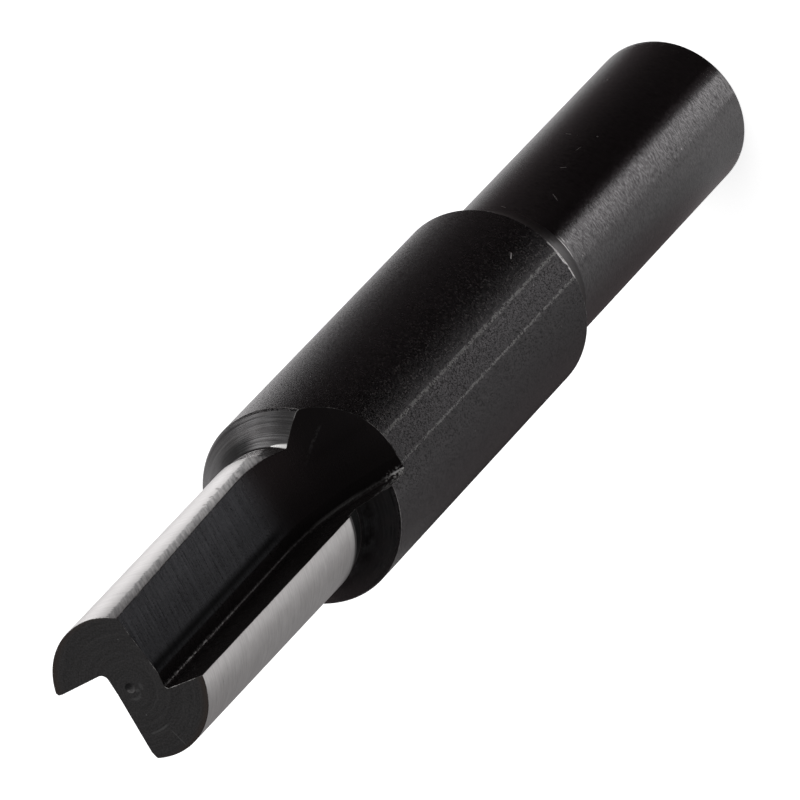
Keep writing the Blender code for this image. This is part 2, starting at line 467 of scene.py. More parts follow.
def dotted_line(tree, off, half_width, dots_per_mm, share):
    """Dotted line where "off" is near 0, in millimetres, with a share of its dots shown."""
    values = {"Off": off, "Half_width": half_width, "Dots_per_mm": dots_per_mm}
    return use_group(tree, line_group, **values, Share=share)["Line"]


def stain(tree, colour, mask, strength, tint):
    """Colour with a tint laid over it where the mask is, at a strength."""
    return mix_colour(tree, calc(tree, "MULTIPLY", mask, strength), colour, tint)


def finish_steel(material, colour, roughness, height=None, depth=0.00001, metal=1.0):
    """Metal shader of one finish, with its colour, roughness, relief and share of bare shine."""
    tree = material.node_tree
    values = {"Base Color": colour, "Metallic": metal, "Roughness": roughness}
    if isinstance(metal, bpy.types.NodeSocket):
        values["Specular IOR Level"] = 0.0
    if height is not None:
        relief = add_node(tree, "ShaderNodeBump", {"Height": height, "Distance": depth})
        values["Normal"] = relief.outputs["Normal"]
    shader = add_node(tree, "ShaderNodeBsdfPrincipled", values)
    add_node(tree, "ShaderNodeOutputMaterial", {"Surface": shader.outputs["BSDF"]})


# Scratch: one short straight mark. "Across" and "Up" are millimetres from its middle, and
# "Turn" is its slope in degrees.
scratch_group, scratch_in, scratch_out = new_group(
    "short_scratch",
    {"Across": 0.0, "Up": 0.0, "Turn": 0.0, "Length": 0.6, "Width": 0.1},
    ("Scratch",),
)
slope = calc(scratch_group, "RADIANS", scratch_in.outputs["Turn"])
level_part = calc(scratch_group, "COSINE", slope)
rising_part = calc(scratch_group, "SINE", slope)
along = calc(scratch_group, "MULTIPLY", scratch_in.outputs["Up"], rising_part)
along = calc(scratch_group, "MULTIPLY_ADD", scratch_in.outputs["Across"], level_part, along)
beside = calc(scratch_group, "MULTIPLY", scratch_in.outputs["Across"], rising_part)
up_part = calc(scratch_group, "MULTIPLY", scratch_in.outputs["Up"], level_part)
beside = calc(scratch_group, "SUBTRACT", up_part, beside)
share_of_mask = []
for distance, size, start, end in ((along, "Length", 0.7, 1.1), (beside, "Width", 0.5, 1.3)):
    half_size = calc(scratch_group, "MULTIPLY", scratch_in.outputs[size], 0.5)
    reach = calc(scratch_group, "DIVIDE", calc(scratch_group, "ABSOLUTE", distance), half_size)
    share_of_mask.append(map_value(scratch_group, reach, start, end, 1.0, 0.0))
scratch_group.links.new(
    calc(scratch_group, "MULTIPLY", *share_of_mask), scratch_out.inputs["Scratch"]
)


def add_scratches(tree, place, radius, rows):
    """Mask of scratches. A row has a side, a height, a turn, a length and a width."""
    mask = 0.0
    for side, height, turn, length, width in rows:
        turned = calc(tree, "SUBTRACT", place["Side"], side)
        scratch = use_group(
            tree,
            scratch_group,
            Across=calc(tree, "MULTIPLY", turned, math.radians(radius)),
            Up=calc(tree, "SUBTRACT", place["Height"], height),
            Turn=turn,
            Length=length,
            Width=width,
        )["Scratch"]
        mask = calc(tree, "MAXIMUM", mask, scratch)
    return mask


def between_sides(tree, place, first, last, soft=1.0):
    """1 between two sides of the tool, in degrees, and 0 outside them."""
    return calc(
        tree,
        "MULTIPLY",
        map_value(tree, place["Side"], first - soft, first + soft),
        map_value(tree, place["Side"], last - soft, last + soft, 1.0, 0.0),
    )


# Shank: turned and polished, with fine rings, a few handling scratches, and rings cut
# deeper where the fillet begins, painted as bright highlights on the lit side.
shank_steel = new_material("black_shank_steel")
tree = shank_steel.node_tree
place = use_group(tree, place_group)
height = place["Height"]
rings = turning_marks(tree, height, 6.5, 0.40, 3.0)
fine_rings = turning_marks(tree, height, 16.0, 2.8, 5.4)
mottle = black_grain(tree, 9.0, 0.40, 0.60)
specks = bare_specks(tree, 0.8, 0.07, 0.12)
marks = weigh(tree, (fine_rings, 0.66), (rings, 0.17), (mottle, 0.17))
even_side = map_value(tree, place["Side"], 15.5, 18.0, 0.60, 1.0)
far_side = map_value(tree, place["Side"], 38.0, 50.0, 1.0, 0.55)
even_side = calc(tree, "MINIMUM", even_side, far_side)
marks = calc(tree, "MULTIPLY_ADD", calc(tree, "SUBTRACT", marks, 0.5), even_side, 0.5)
scratches = add_scratches(
    tree,
    place,
    1000.0 * shank_radius,
    (
        (70.0, 23.3, 41.0, 0.57, 0.11),
        (59.2, 27.65, 142.6, 0.93, 0.09),
        (86.7, 17.8, 173.7, 0.53, 0.08),
        (71.5, 19.9, 80.5, 0.85, 0.05),
        (67.3, 17.25, 0.0, 0.16, 0.15),
        (97.0, 7.4, 0.0, 0.16, 0.14),
        (83.5, 31.3, 154.0, 0.50, 0.08),
    ),
)
# Painted highlight: the rings where the fillet begins are painted bright only on the lit side.
stop_ring_glints = 0.0
for ring_height, half_width, share in (
    (31.88, 0.09, 0.72),
    (31.56, 0.06, 0.60),
    (31.20, 0.05, 0.45),
):
    ring = dotted_line(tree, calc(tree, "SUBTRACT", height, ring_height), half_width, 0.9, share)
    stop_ring_glints = calc(tree, "MAXIMUM", stop_ring_glints, ring)
stop_ring_glints = calc(tree, "MULTIPLY", stop_ring_glints, between_sides(tree, place, 22.0, 40.0, 3.0))
bare_and_glint = calc(tree, "MAXIMUM", calc(tree, "MULTIPLY", specks, 0.6), scratches)
colour = mix_colour(tree, marks, (0.010, 0.009, 0.0095), (0.230, 0.225, 0.227))
colour = stain(tree, colour, stop_ring_glints, 0.7, (0.55, 0.54, 0.53))
colour = mix_colour(tree, bare_and_glint, colour, (0.50, 0.49, 0.48))
roughness = map_value(tree, marks, 0.0, 1.0, 0.10, 0.20, False)
roughness = calc(tree, "MULTIPLY_ADD", bare_and_glint, 0.30, roughness)
finish_steel(shank_steel, colour, roughness, marks, 0.000006)

# Fillet behind the body: turned with a round tool, duller than the shank.
fillet_steel = new_material("black_fillet_steel")
tree = fillet_steel.node_tree
place = use_group(tree, place_group)
rings = turning_marks(tree, place["Height"], 3.0, 0.15, 2.0)
mottle = black_grain(tree, 4.0, 0.3, 0.7)
marks = weigh(tree, (mottle, 0.4), (rings, 0.6))
colour = mix_colour(tree, marks, (0.085, 0.080, 0.080), (0.135, 0.130, 0.130))
# Painted shade: the sides below about 40 degrees are darkened towards black.
painted_shade = map_value(tree, place["Side"], 38.0, 60.0, 0.50, 0.0)
colour = mix_colour(tree, painted_shade, colour, shade_black)
finish_steel(fillet_steel, colour, map_value(tree, marks, 0.0, 1.0, 0.28, 0.36, False), marks)

# Body: blackened as rolled, with an even coarse grain. Two ragged pale dotted lines run
# along it, and its rear rim is rubbed bare and painted with a highlight on the lit side.
body_steel = new_material("black_body_steel")
tree = body_steel.node_tree
place = use_group(tree, place_group)
coarse_grain = black_grain(tree, 5.5, 0.36, 0.52)
fine_grain = black_grain(tree, 11.0, 0.38, 0.54)
pale_dots = black_grain(tree, 4.6, 0.54, 0.65)
fine_dots = black_grain(tree, 5.5, 0.50, 0.64)
cloud = black_grain(tree, 1.5, 0.3, 0.7)
specks = bare_specks(tree, 1.6, 0.12, 0.2)
wander = black_grain(tree, 2.2, 0.3, 0.7)
ragged = black_grain(tree, 6.0, 0.3, 0.7)
wander = weigh(tree, (ragged, 0.14), (wander, 0.12))
wander = calc(tree, "SUBTRACT", wander, 0.13)
mm_per_degree = math.radians(1000.0 * body_radius)
# Two ragged pale dotted lines along the body, at fixed sides.
pale_lines = 0.0
for side, half_width, share in ((17.6, 0.09, 0.58), (35.0, 0.14, 0.60)):
    off = calc(tree, "MULTIPLY", calc(tree, "SUBTRACT", place["Side"], side), mm_per_degree)
    pale_line = dotted_line(tree, calc(tree, "ADD", off, wander), half_width, 3.6, share)
    pale_lines = calc(tree, "MAXIMUM", pale_lines, pale_line)
# Painted highlight: the rear rim is painted near white on the lit side, where it is also rubbed
# bare.
rim_off = calc(tree, "SUBTRACT", place["Height"], 35.31)
rim_glint_width = calc(tree, "MULTIPLY_ADD", between_sides(tree, place, 25.0, 35.0, 4.0), 0.13, 0.12)
bare_rim_glint = dotted_line(tree, rim_off, rim_glint_width, 2.8, 0.64)
bare_rim_glint = calc(tree, "MULTIPLY", bare_rim_glint, between_sides(tree, place, 17.5, 42.0))
coarse = weigh(tree, (coarse_grain, 0.50), (fine_grain, 0.34), (cloud, 0.16))
grain_strength = map_value(tree, place["Side"], 15.0, 18.0, 1.20, 1.35)
middle_tone = 0.78
coarse = calc(tree, "SUBTRACT", coarse, middle_tone)
coarse = calc(tree, "MULTIPLY_ADD", coarse, grain_strength, middle_tone)
scratches = add_scratches(
    tree, place, 1000.0 * body_radius, ((51.0, 39.75, 113.0, 0.87, 0.12),)
)
colour = mix_colour(tree, coarse, (0.001, 0.001, 0.001), (0.070, 0.067, 0.069))
near_band = map_value(tree, place["Side"], 36.0, 42.0, 0.0, 0.80)
dark_side = map_value(tree, place["Side"], 46.0, 84.0, 1.0, 0.2)
near_band = calc(tree, "MULTIPLY", near_band, dark_side)
pale_dots = calc(tree, "MULTIPLY", pale_dots, near_band)
far_side = map_value(tree, place["Side"], 66.0, 90.0, 0.0, 0.14)
fine_dots = calc(tree, "MULTIPLY", fine_dots, far_side)
pale_dots = calc(tree, "MAXIMUM", pale_dots, fine_dots)
colour = mix_colour(tree, pale_dots, colour, (0.180, 0.170, 0.165))
colour = stain(tree, colour, specks, 0.35, (0.35, 0.34, 0.33))
colour = stain(tree, colour, pale_lines, 0.65, (0.32, 0.32, 0.31))
bare_and_glint = calc(tree, "MAXIMUM", bare_rim_glint, scratches)
colour = mix_colour(tree, bare_and_glint, colour, (0.85, 0.84, 0.83))
roughness = map_value(tree, coarse, 0.0, 1.0, 0.19, 0.25, False)
roughness = calc(tree, "MULTIPLY_ADD", pale_dots, 0.22, roughness)
roughness = calc(tree, "MAXIMUM", roughness, calc(tree, "MULTIPLY", pale_lines, 0.45))
roughness = calc(tree, "MAXIMUM", roughness, calc(tree, "MULTIPLY", bare_and_glint, 0.50))
finish_steel(body_steel, colour, roughness, coarse, 0.000011)

# Cone and its fillet: coarse rings of the turning tool, blackened. It has painted shade in two
# patches and is brownish on one side, and one corner has a painted highlight.
turned_steel = new_material("black_turned_steel")
tree = turned_steel.node_tree
place = use_group(tree, place_group)
rings = turning_marks(tree, place["Radius"], 6.0, 0.12, 3.0)
fine_rings = turning_marks(tree, place["Radius"], 15.0, 0.3, 3.4)
mottle = black_grain(tree, 1.0, 0.3, 0.7)
marks = weigh(tree, (fine_rings, 0.5), (rings, 0.5))
colour = mix_colour(tree, marks, (0.020, 0.019, 0.020), (0.100, 0.098, 0.099))
colour = stain(tree, colour, mottle, 0.3, (0.042, 0.038, 0.037))
# Painted shade: a dark patch towards the neck on one side.
towards_neck = map_value(tree, place["Radius"], 7.1, 6.4)
painted_shade = calc(tree, "MULTIPLY", towards_neck, between_sides(tree, place, 109.0, 142.0, 6.0))
colour = stain(tree, colour, painted_shade, 0.85, shade_black)
# Painted shade: a second dark patch further out on the cone.
painted_shade = calc(
    tree,
    "MULTIPLY",
    map_value(tree, place["Radius"], 6.3, 6.9),
    between_sides(tree, place, 80.0, 103.0, 4.0),
)
colour = stain(tree, colour, painted_shade, 0.45, shade_black)
brownish = calc(tree, "MULTIPLY", mottle, map_value(tree, place["Side"], 8.0, 16.0, 0.85, 0.0))
tone = mix_colour(
    tree,
    map_value(tree, place["Radius"], 6.2, 7.6),
    (0.017, 0.014, 0.0145),
    (0.090, 0.080, 0.081),
)
colour = mix_colour(tree, brownish, colour, tone)
# Painted highlight: a bright wedge in the corner at the foot of the cone.
corner_off = calc(tree, "ABSOLUTE", calc(tree, "SUBTRACT", place["Height"], 72.40))
wedge = map_value(tree, place["Side"], 79.0, 93.0, 0.26, 0.02, False)
corner_reach = calc(tree, "MULTIPLY_ADD", mottle, 0.2, calc(tree, "DIVIDE", corner_off, wedge))
corner_glint = calc(
    tree,
    "MULTIPLY",
    map_value(tree, corner_reach, 0.6, 1.2, 1.0, 0.0),
    between_sides(tree, place, 70.0, 92.0),
)
colour = mix_colour(tree, corner_glint, colour, (0.64, 0.63, 0.62))
roughness = map_value(tree, marks, 0.0, 1.0, 0.18, 0.28, False)
finish_steel(turned_steel, colour, roughness, marks, 0.000010)

# Neck: turned down to the size of the ground end and blackened with it, with painted shade
# on one side and a painted highlight on the other.
neck_steel = new_material("black_neck_steel")
tree = neck_steel.node_tree
place = use_group(tree, place_group)
rings = turning_marks(tree, place["Height"], 6.0, 0.3, 2.6)
colour = mix_colour(tree, rings, (0.09, 0.088, 0.088), (0.20, 0.197, 0.197))
# Painted highlight: a bright strip on the neck on the side of the light.
ground_and_glint = calc(
    tree,
    "MULTIPLY",
    map_value(tree, place["Side"], 95.0, 99.0),
    map_value(tree, place["Side"], 109.0, 118.0, 1.0, 0.45),
)
colour = mix_colour(tree, ground_and_glint, colour, (0.92, 0.91, 0.90))
# Painted shade: on one side the neck turns near black and its metal shine drops.
shine = map_value(tree, place["Side"], -34.0, -14.0, 0.32, 0.10)
shine = calc(tree, "MAXIMUM", shine, map_value(tree, place["Side"], 20.0, 88.0))
colour = mix_colour(tree, shine, shade_black, colour)
roughness = map_value(tree, rings, 0.0, 1.0, 0.20, 0.28, False)
finish_steel(neck_steel, colour, roughness, rings, metal=shine)

SHANK, FILLET, BODY, TURNED, NECK = range(5)
blank_steels = (shank_steel, fillet_steel, body_steel, turned_steel, neck_steel)
blank_shape = bmesh.new()
rim_radius = body_radius - rim_across


def arc_row(centre, radius, first, last, steps):
    """Points (radius, height) on an arc of the half section."""
    return [
        (centre[0] + radius * math.cos(a), centre[1] + radius * math.sin(a))
        for a in (first + (last - first) * i / steps for i in range(steps + 1))
    ]


cone_foot = body_front + (rim_radius - neck_radius) / math.tan(cone_angle)
cone_rise = neck_fillet_radius * math.tan(cone_angle / 2)
rear_across = rim_radius - shank_radius
rear_radius = (rear_across**2 + rear_fillet_length**2) / (2 * rear_across)
neck_end = land_end + neck_overlap
half_section = [(0.0, neck_end), (neck_radius, neck_end)]
half_section += arc_row(
    (neck_radius + neck_fillet_radius, cone_foot + cone_rise),
    neck_fillet_radius,
    math.pi,
    math.pi + cone_angle,
    10,
)
half_section += [(rim_radius, body_front), (body_radius, body_front - rim_along)]
half_section += [(body_radius, shank_length + rim_along)]
half_section += arc_row(
    (shank_radius + rear_radius, shank_length - rear_fillet_length),
    rear_radius,
    math.pi - math.asin(rear_fillet_length / rear_radius),
    math.pi,
    24,
)
half_section += [(shank_radius, end_chamfer), (shank_radius - end_chamfer, 0.0), (0.0, 0.0)]
section_verts = [blank_shape.verts.new((r, 0.0, z)) for r, z in half_section]
section_edges = [blank_shape.edges.new(pair) for pair in zip(section_verts, section_verts[1:])]
bmesh.ops.spin(
    blank_shape,
    geom=section_verts + section_edges,
    cent=(0.0, 0.0, 0.0),
    axis=(0.0, 0.0, 1.0),
    angle=math.tau,
    steps=turn_steps,
    use_merge=True,
)
bmesh.ops.remove_doubles(blank_shape, verts=blank_shape.verts[:], dist=merge_distance)
bmesh.ops.recalc_face_normals(blank_shape, faces=blank_shape.faces[:])
for face in blank_shape.faces:
    middle = face.calc_center_median()
    if middle.z < shank_length - rear_fillet_length:
        face.material_index = SHANK
    elif middle.z < shank_length:
        face.material_index = FILLET
    elif middle.z < body_front:
        face.material_index = BODY
    elif middle.z < cone_foot + cone_rise - seam_margin:
        face.material_index = TURNED
    else:
        face.material_index = NECK
blank = new_object("blank", blank_shape, *blank_steels)

# Lobes: the two halves of the cutting end, ground bright and darker along one edge.
# Each is turned about a centre a little off the tool axis, so that its land falls away
# behind the cutting edge.
cut_radius = 0.00615
lobe_offset_tip = 0.00056
lobe_offset_root = 0.00028
lobe_angle = -2.0

land_steel = new_material("ground_land_steel")
tree = land_steel.node_tree
place = use_group(tree, place_group)
height = place["Height"]
streaks = turning_marks(tree, height, 5.0, 0.3, 2.0)
fine_streaks = turning_marks(tree, height, 13.0, 0.8, 2.8)
cloud = black_grain(tree, 0.6, 0.3, 0.7)
ground_and_glint = weigh(tree, (fine_streaks, 0.40), (streaks, 0.40), (cloud, 0.20))
colour = mix_colour(tree, ground_and_glint, (0.44, 0.43, 0.422), (0.79, 0.782, 0.77))
edge_side = calc(tree, "MULTIPLY_ADD", calc(tree, "SUBTRACT", 100.0, height), 0.26, 97.3)
past_edge = calc(tree, "SUBTRACT", place["Side"], edge_side)
ragged = calc(tree, "MULTIPLY_ADD", streaks, 3.0, -1.5)
past_edge = calc(tree, "ADD", past_edge, ragged)
# Darker band along one edge of the land.
dark_edge_band = calc(
    tree,
    "MULTIPLY",
    map_value(tree, past_edge, -1.2, 1.2, 1.0, 0.0),
    map_value(tree, place["Side"], 80.0, 85.0),
)
slanting = calc(tree, "MULTIPLY_ADD", place["Side"], 0.14, height)
band_marks = turning_marks(tree, slanting, 3.0, 0.9, 3.6)
band_share = map_value(tree, band_marks, 0.0, 1.0, 0.35, 1.0, False)
colour = stain(tree, colour, dark_edge_band, band_share, (0.19, 0.19, 0.19))
radius_at_dents = 6.1
dents = add_scratches(
    tree,
    place,
    radius_at_dents,
    (
        (104.4, 79.1, 150.0, 0.55, 0.22),
        (103.3, 80.5, 60.0, 0.30, 0.20),
        (102.9, 81.8, 20.0, 0.28, 0.16),
        (95.1, 77.6, 130.0, 0.50, 0.20),
        (101.2, 83.9, 100.0, 0.22, 0.14),
        (99.6, 76.4, 30.0, 0.36, 0.14),
    ),
)
colour = stain(tree, colour, dents, 0.6, (0.15, 0.145, 0.14))
relief = calc(tree, "SUBTRACT", ground_and_glint, calc(tree, "MULTIPLY", dents, 3.0))
# Painted shade at the foot of the land, strongest on one side.
land_foot = calc(tree, "MULTIPLY_ADD", streaks, 0.2, height)
land_foot = map_value(tree, land_foot, 74.30, 74.60, 0.93, 0.0)
land_foot = calc(tree, "MULTIPLY", land_foot, map_value(tree, place["Side"], 18.0, 24.0, 1.0, 0.0))
shade_side = map_value(tree, place["Side"], -55.0, -22.0, 0.3, 1.0)
land_foot = calc(tree, "MULTIPLY", land_foot, shade_side)
colour = mix_colour(tree, land_foot, colour, (0.016, 0.014, 0.014))
roughness = map_value(tree, ground_and_glint, 0.0, 1.0, 0.26, 0.36, False)
finish_steel(land_steel, colour, roughness, relief, 0.000005)

# Tip face: sawn and faced, blackened, with faint rings of the facing cut, a brown rim and
# one curved and one straight scratch, painted shade in the centre dimple and painted
# highlights beside it.
end_steel = new_material("black_end_steel")
tree = end_steel.node_tree
place = use_group(tree, place_group)
radius = place["Radius"]
rings = turning_marks(tree, radius, 4.0, 0.15, 3.0)
fine_rings = turning_marks(tree, radius, 11.0, 0.8, 2.6)
mottle = black_grain(tree, 7.0, 0.3, 0.7)
specks = bare_specks(tree, 1.0, 0.09, 0.2)
marks = weigh(tree, (mottle, 0.5), (rings, 0.25), (fine_rings, 0.25))
colour = mix_colour(tree, marks, (0.045, 0.0430, 0.0435), (0.111, 0.107, 0.108))
rim = map_value(tree, radius, 5.4, 6.1)
colour = stain(tree, colour, rim, 0.7, (0.092, 0.070, 0.060))
curved = dotted_line(tree, calc(tree, "SUBTRACT", radius, 3.72), 0.09, 1.2, 0.75)
curved = calc(tree, "MULTIPLY", curved, between_sides(tree, place, -75.0, -51.0, 3.0))
facing = add_node(tree, "ShaderNodeTexCoord").outputs["Object"]
facing = add_node(tree, "ShaderNodeSeparateXYZ", {0: facing}).outputs
straight = use_group(
    tree,
    scratch_group,
    Across=calc(tree, "MULTIPLY_ADD", facing["X"], 1000.0, -3.03),
    Up=calc(tree, "MULTIPLY_ADD", facing["Y"], 1000.0, 3.88),
    Turn=-51.5,
    Length=1.56,
    Width=0.09,
)["Scratch"]
# Painted highlight: a pale crescent round the centre dimple on one side, and a glint beside it.
dimple_highlight = dotted_line(tree, calc(tree, "SUBTRACT", radius, 0.92), 0.13, 1.3, 0.55)
dimple_highlight = calc(tree, "MULTIPLY", dimple_highlight, between_sides(tree, place, -95.0, 25.0, 8.0))
glint = use_group(
    tree,
    scratch_group,
    Across=calc(tree, "MULTIPLY_ADD", facing["X"], 1000.0, -0.55),
    Up=calc(tree, "MULTIPLY_ADD", facing["Y"], 1000.0, 0.18),
    Turn=20.0,
    Length=0.36,
    Width=0.26,
)["Scratch"]
dimple_highlight = calc(tree, "MAXIMUM", dimple_highlight, glint)
lines = calc(tree, "MAXIMUM", calc(tree, "MAXIMUM", curved, straight), dimple_highlight)
colour = stain(tree, colour, specks, 0.5, (0.3, 0.3, 0.3))
colour = stain(tree, colour, lines, 0.30, (0.24, 0.24, 0.24))
# Painted shade in the centre dimple.
dimple_shade = map_value(tree, radius, 0.05, 0.55, 1.0, 0.0)
colour = stain(tree, colour, dimple_shade, 0.2, (0.015, 0.015, 0.015))
finish_steel(end_steel, colour, 0.36, marks, 0.000006)

LAND, END = range(2)


def add_lobe(name, angle):
    """Slightly tapered round solid whose outer side touches the cutting circle."""
    shape = bmesh.new()
    rings = []
    for offset, height in ((lobe_offset_root, land_end), (lobe_offset_tip, tip)):
        ring = bmesh.ops.create_circle(
            shape, cap_ends=False, segments=turn_steps, radius=cut_radius - offset
        )["verts"]
        bmesh.ops.translate(shape, verts=ring, vec=(offset, 0.0, height))
        rings.append(ring)
    bmesh.ops.bridge_loops(shape, edges=shape.edges[:])
    for ring in rings:
        bmesh.ops.contextual_create(shape, geom=ring)
    bmesh.ops.rotate(
        shape, verts=shape.verts[:], matrix=Matrix.Rotation(math.radians(angle), 3, "Z")
    )
    bmesh.ops.recalc_face_normals(shape, faces=shape.faces[:])
    for face in shape.faces:
        face.material_index = END if face.normal.z > 0.9 else LAND
    return new_object(name, shape, land_steel, end_steel)


lobes = [add_lobe("lobe_front", lobe_angle), add_lobe("lobe_rear", lobe_angle + 180.0)]

# Flutes: two chip spaces milled by a disc, straight along the cutting end and swung out
# through the cone and the body. Their walls are left as milled and blackened, with painted
# shade in them and a painted highlight along their foot.
disc_axis_distance = 0.0144
runout_start = 0.0221
disc_height = tip - runout_start
flute_tilt = math.radians(0.87)
runout_sweep = math.radians(72.0)
runout_steps = 96
flute_reach = 0.0110
flute_top = 0.0100
straight_travel = 0.0241

MILLED, FOOT = range(2)


def new_milled_steels(name, heading, foot_line):
    """Finish of one flute's walls and of the face at its foot, with painted shade and a rubbed
    line painted as a highlight.
    """
    steels = []
    tooth_slope = 0.25
    for part in ("wall", "foot"):
        material = new_material("black_milled_" + part + "_" + name)
        tree = material.node_tree
        place = use_group(tree, place_group)
        height = place["Height"]
        turned = calc(tree, "RADIANS", calc(tree, "SUBTRACT", place["Side"], heading))
        across = calc(tree, "MULTIPLY", place["Radius"], calc(tree, "SINE", turned))
        tooth_line = calc(tree, "MULTIPLY_ADD", across, tooth_slope, height)
        feed_marks = turning_marks(tree, tooth_line, 4.2, 0.12, 3.0)
        fine_marks = turning_marks(tree, tooth_line, 10.0, 0.50, 3.2)
        mottle = black_grain(tree, 6.5, 0.3, 0.7)
        marks = weigh(tree, (fine_marks, 0.40), (feed_marks, 0.27), (mottle, 0.33))
        wall = mix_colour(tree, marks, (0.004, 0.0045, 0.006), (0.106, 0.108, 0.116))
        # Painted shade across the wall, darkest just past the foot corner.
        shade = add_node(
            tree,
            "ShaderNodeValToRGB",
            {"Fac": map_value(tree, across, -2.0, 6.0, smooth=False)},
        )
        stops = shade.color_ramp
        stops.interpolation = "EASE"
        stops.elements[0].position = 0.0
        stops.elements[0].color = (0.68, 0.68, 0.68, 1.0)
        stops.elements[1].position = 1.0
        stops.elements[1].color = (0.92, 0.92, 0.92, 1.0)
        for width, level in (
            (0.15, 0.68),
            (0.35, 0.34),
            (0.75, 0.09),
            (1.4, 0.66),
            (2.2, 0.65),
            (3.2, 0.74),
            (4.2, 0.86),
        ):
            stop = stops.elements.new((width + 2.0) / 8.0)
            stop.color = (level, level, level, 1.0)
        # Painted shade: deep in the run-out and on the narrow faces at the foot, the walls turn an
        # even dark brown.
        deep = map_value(tree, height, 75.0, 80.0, 1.0, 0.0)
        foot_shade = map_value(tree, across, 0.12, 0.35, 1.0, 0.0)
        colour = mix_colour(
            tree, calc(tree, "MAXIMUM", deep, foot_shade), wall, (0.038, 0.0325, 0.0330)
        )
        even_shade = map_value(tree, across, 0.6, 5.2, 0.38, 1.20)
        deepest = map_value(tree, height, 76.0, 79.5, 1.0, 0.0)
        shaded = mix_colour(tree, deepest, shade.outputs["Color"], even_shade)
        colour = mix_colour(tree, 1.0, colour, shaded, "MULTIPLY")
        shine = map_value(tree, shaded, 0.1, 0.9, 0.28, 1.0, False)
        # Painted highlight along the foot line, with faint pale lines in the run-out and rubbed
        # dots that are thicker near the body.
        past_foot = calc(tree, "SUBTRACT", across, foot_line)
        rub_and_highlight = calc(tree, "ABSOLUTE", calc(tree, "SUBTRACT", past_foot, 0.09))
        rub_and_highlight = map_value(tree, rub_and_highlight, 0.03, 0.16, 0.16, 0.0)
        rub_and_highlight = calc(tree, "MULTIPLY", rub_and_highlight, map_value(tree, height, 69.5, 71.0))
        rub_and_highlight = calc(tree, "MULTIPLY", rub_and_highlight, map_value(tree, height, 73.5, 75.0, 1.0, 0.0))
        off = calc(tree, "MULTIPLY_ADD", height, 0.775, across)
        faint = dotted_line(tree, calc(tree, "SUBTRACT", off, 59.15), 0.16, 2.6, 0.55)
        faint = calc(tree, "MULTIPLY", faint, map_value(tree, across, 2.9, 4.4, 0.0, 0.14))
        faint = calc(tree, "MULTIPLY", faint, map_value(tree, across, 4.8, 5.2, 1.0, 0.0))
        ragged_width = map_value(tree, place["Radius"], 6.4, 7.2, 0.17, 0.36)
        ragged_foot = dotted_line(tree, past_foot, ragged_width, 4.5, 0.42)
        by_height = map_value(tree, height, 83.0, 93.0, 0.08, 0.40)
        outer = map_value(tree, place["Radius"], 6.5, 7.1, 0.0, 0.9)
        by_height = calc(tree, "MAXIMUM", by_height, outer)
        rub_and_highlight = calc(tree, "MAXIMUM", rub_and_highlight, faint)
        rub_and_highlight = calc(tree, "MAXIMUM", rub_and_highlight, calc(tree, "MULTIPLY", ragged_foot, by_height))
        colour = mix_colour(tree, rub_and_highlight, colour, (0.40, 0.39, 0.385))
        shine = calc(tree, "MAXIMUM", shine, rub_and_highlight)
        roughness = map_value(tree, marks, 0.0, 1.0, 0.24, 0.34, False)
        roughness = calc(tree, "MAXIMUM", roughness, calc(tree, "MULTIPLY", rub_and_highlight, 0.5))
        # The foot face: a dotted painted highlight, with a rubbed burr near the body.
        if part == "foot":
            strength = map_value(tree, height, 84.0, 93.0, 0.08, 0.65)
            burr = map_value(tree, place["Radius"], 6.9, 7.3, 0.0, 1.0)
            strength = calc(tree, "MAXIMUM", strength, burr)
            dots = dotted_line(tree, 0.0, 1.0, 2.6, calc(tree, "MULTIPLY_ADD", burr, 0.35, 0.42))
            dots = calc(tree, "MULTIPLY", dots, strength)
            thin_line = map_value(tree, height, 78.0, 86.0, 0.05, 0.08)
            dots = calc(tree, "MAXIMUM", dots, thin_line)
            colour = mix_colour(tree, dots, colour, (0.62, 0.61, 0.60))
            roughness = calc(tree, "MAXIMUM", roughness, calc(tree, "MULTIPLY", dots, 0.55))
            shine = calc(tree, "MAXIMUM", shine, dots)
        finish_steel(material, colour, roughness, marks, 0.000010, shine)
        steels.append(material)
    return steels


